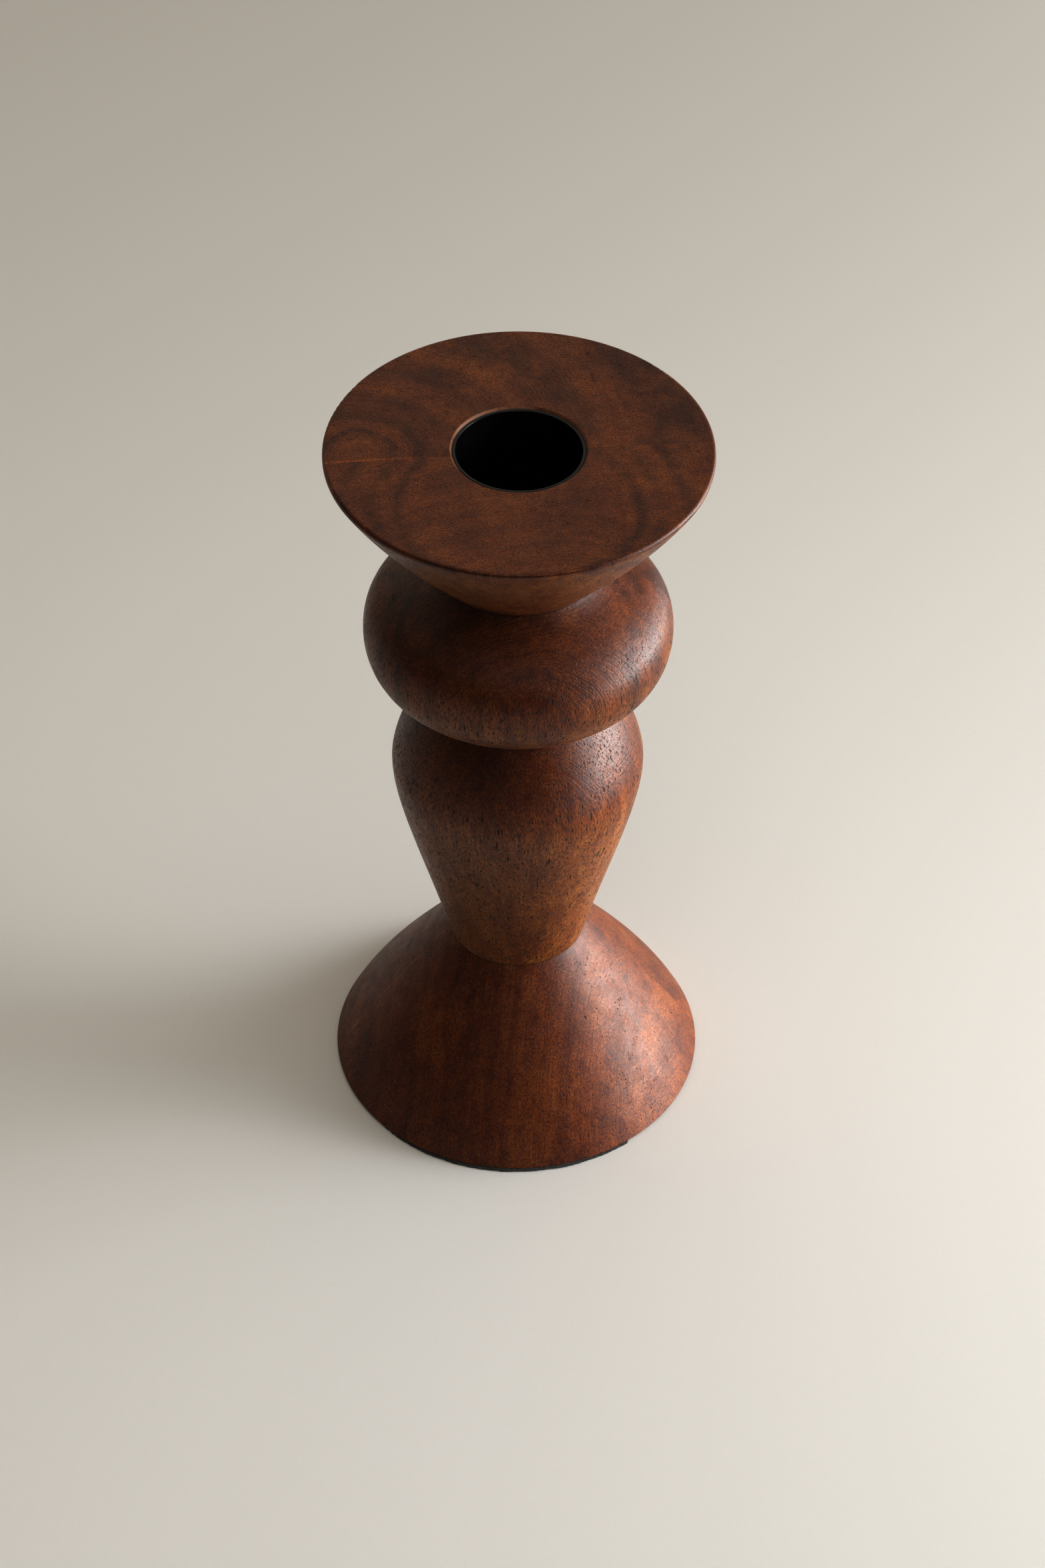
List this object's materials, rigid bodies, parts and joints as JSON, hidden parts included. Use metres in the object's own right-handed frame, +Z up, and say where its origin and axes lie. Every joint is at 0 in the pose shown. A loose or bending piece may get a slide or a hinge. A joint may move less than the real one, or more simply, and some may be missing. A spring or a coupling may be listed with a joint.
{
  "type": "candlestick",
  "caption": "Turned wooden candlestick with a flat dish top, round bead, tapered vase stem and conical foot, lined with a steel cup for a dinner candle.",
  "frame": {"origin": "where the turning axis meets the felt pad's underside", "axes": "+Z up along the turning axis; the plane where the boards meet is parallel to XZ and 1 mm in front of the axis, and the front boards face -Y"},
  "size_m": [0.0722, 0.0722, 0.1509],
  "materials": {
    "front_board_wood": "satin",
    "back_board_wood": "satin",
    "dowel_wood": "matte",
    "black_steel": "gloss",
    "black_felt": "matte"
  },
  "bodies": {
    "root": {"foot_front_half": "front_board_wood", "foot_back_half": "back_board_wood", "vase_front_half": "front_board_wood", "vase_back_half": "back_board_wood", "bead_front_half": "front_board_wood", "bead_back_half": "back_board_wood", "dish_front_half": "front_board_wood", "dish_back_half": "back_board_wood", "foot_dowel": "dowel_wood", "neck_dowel": "dowel_wood", "candle_cup": "black_steel", "felt_pad": "black_felt"}
  },
  "joints": []
}
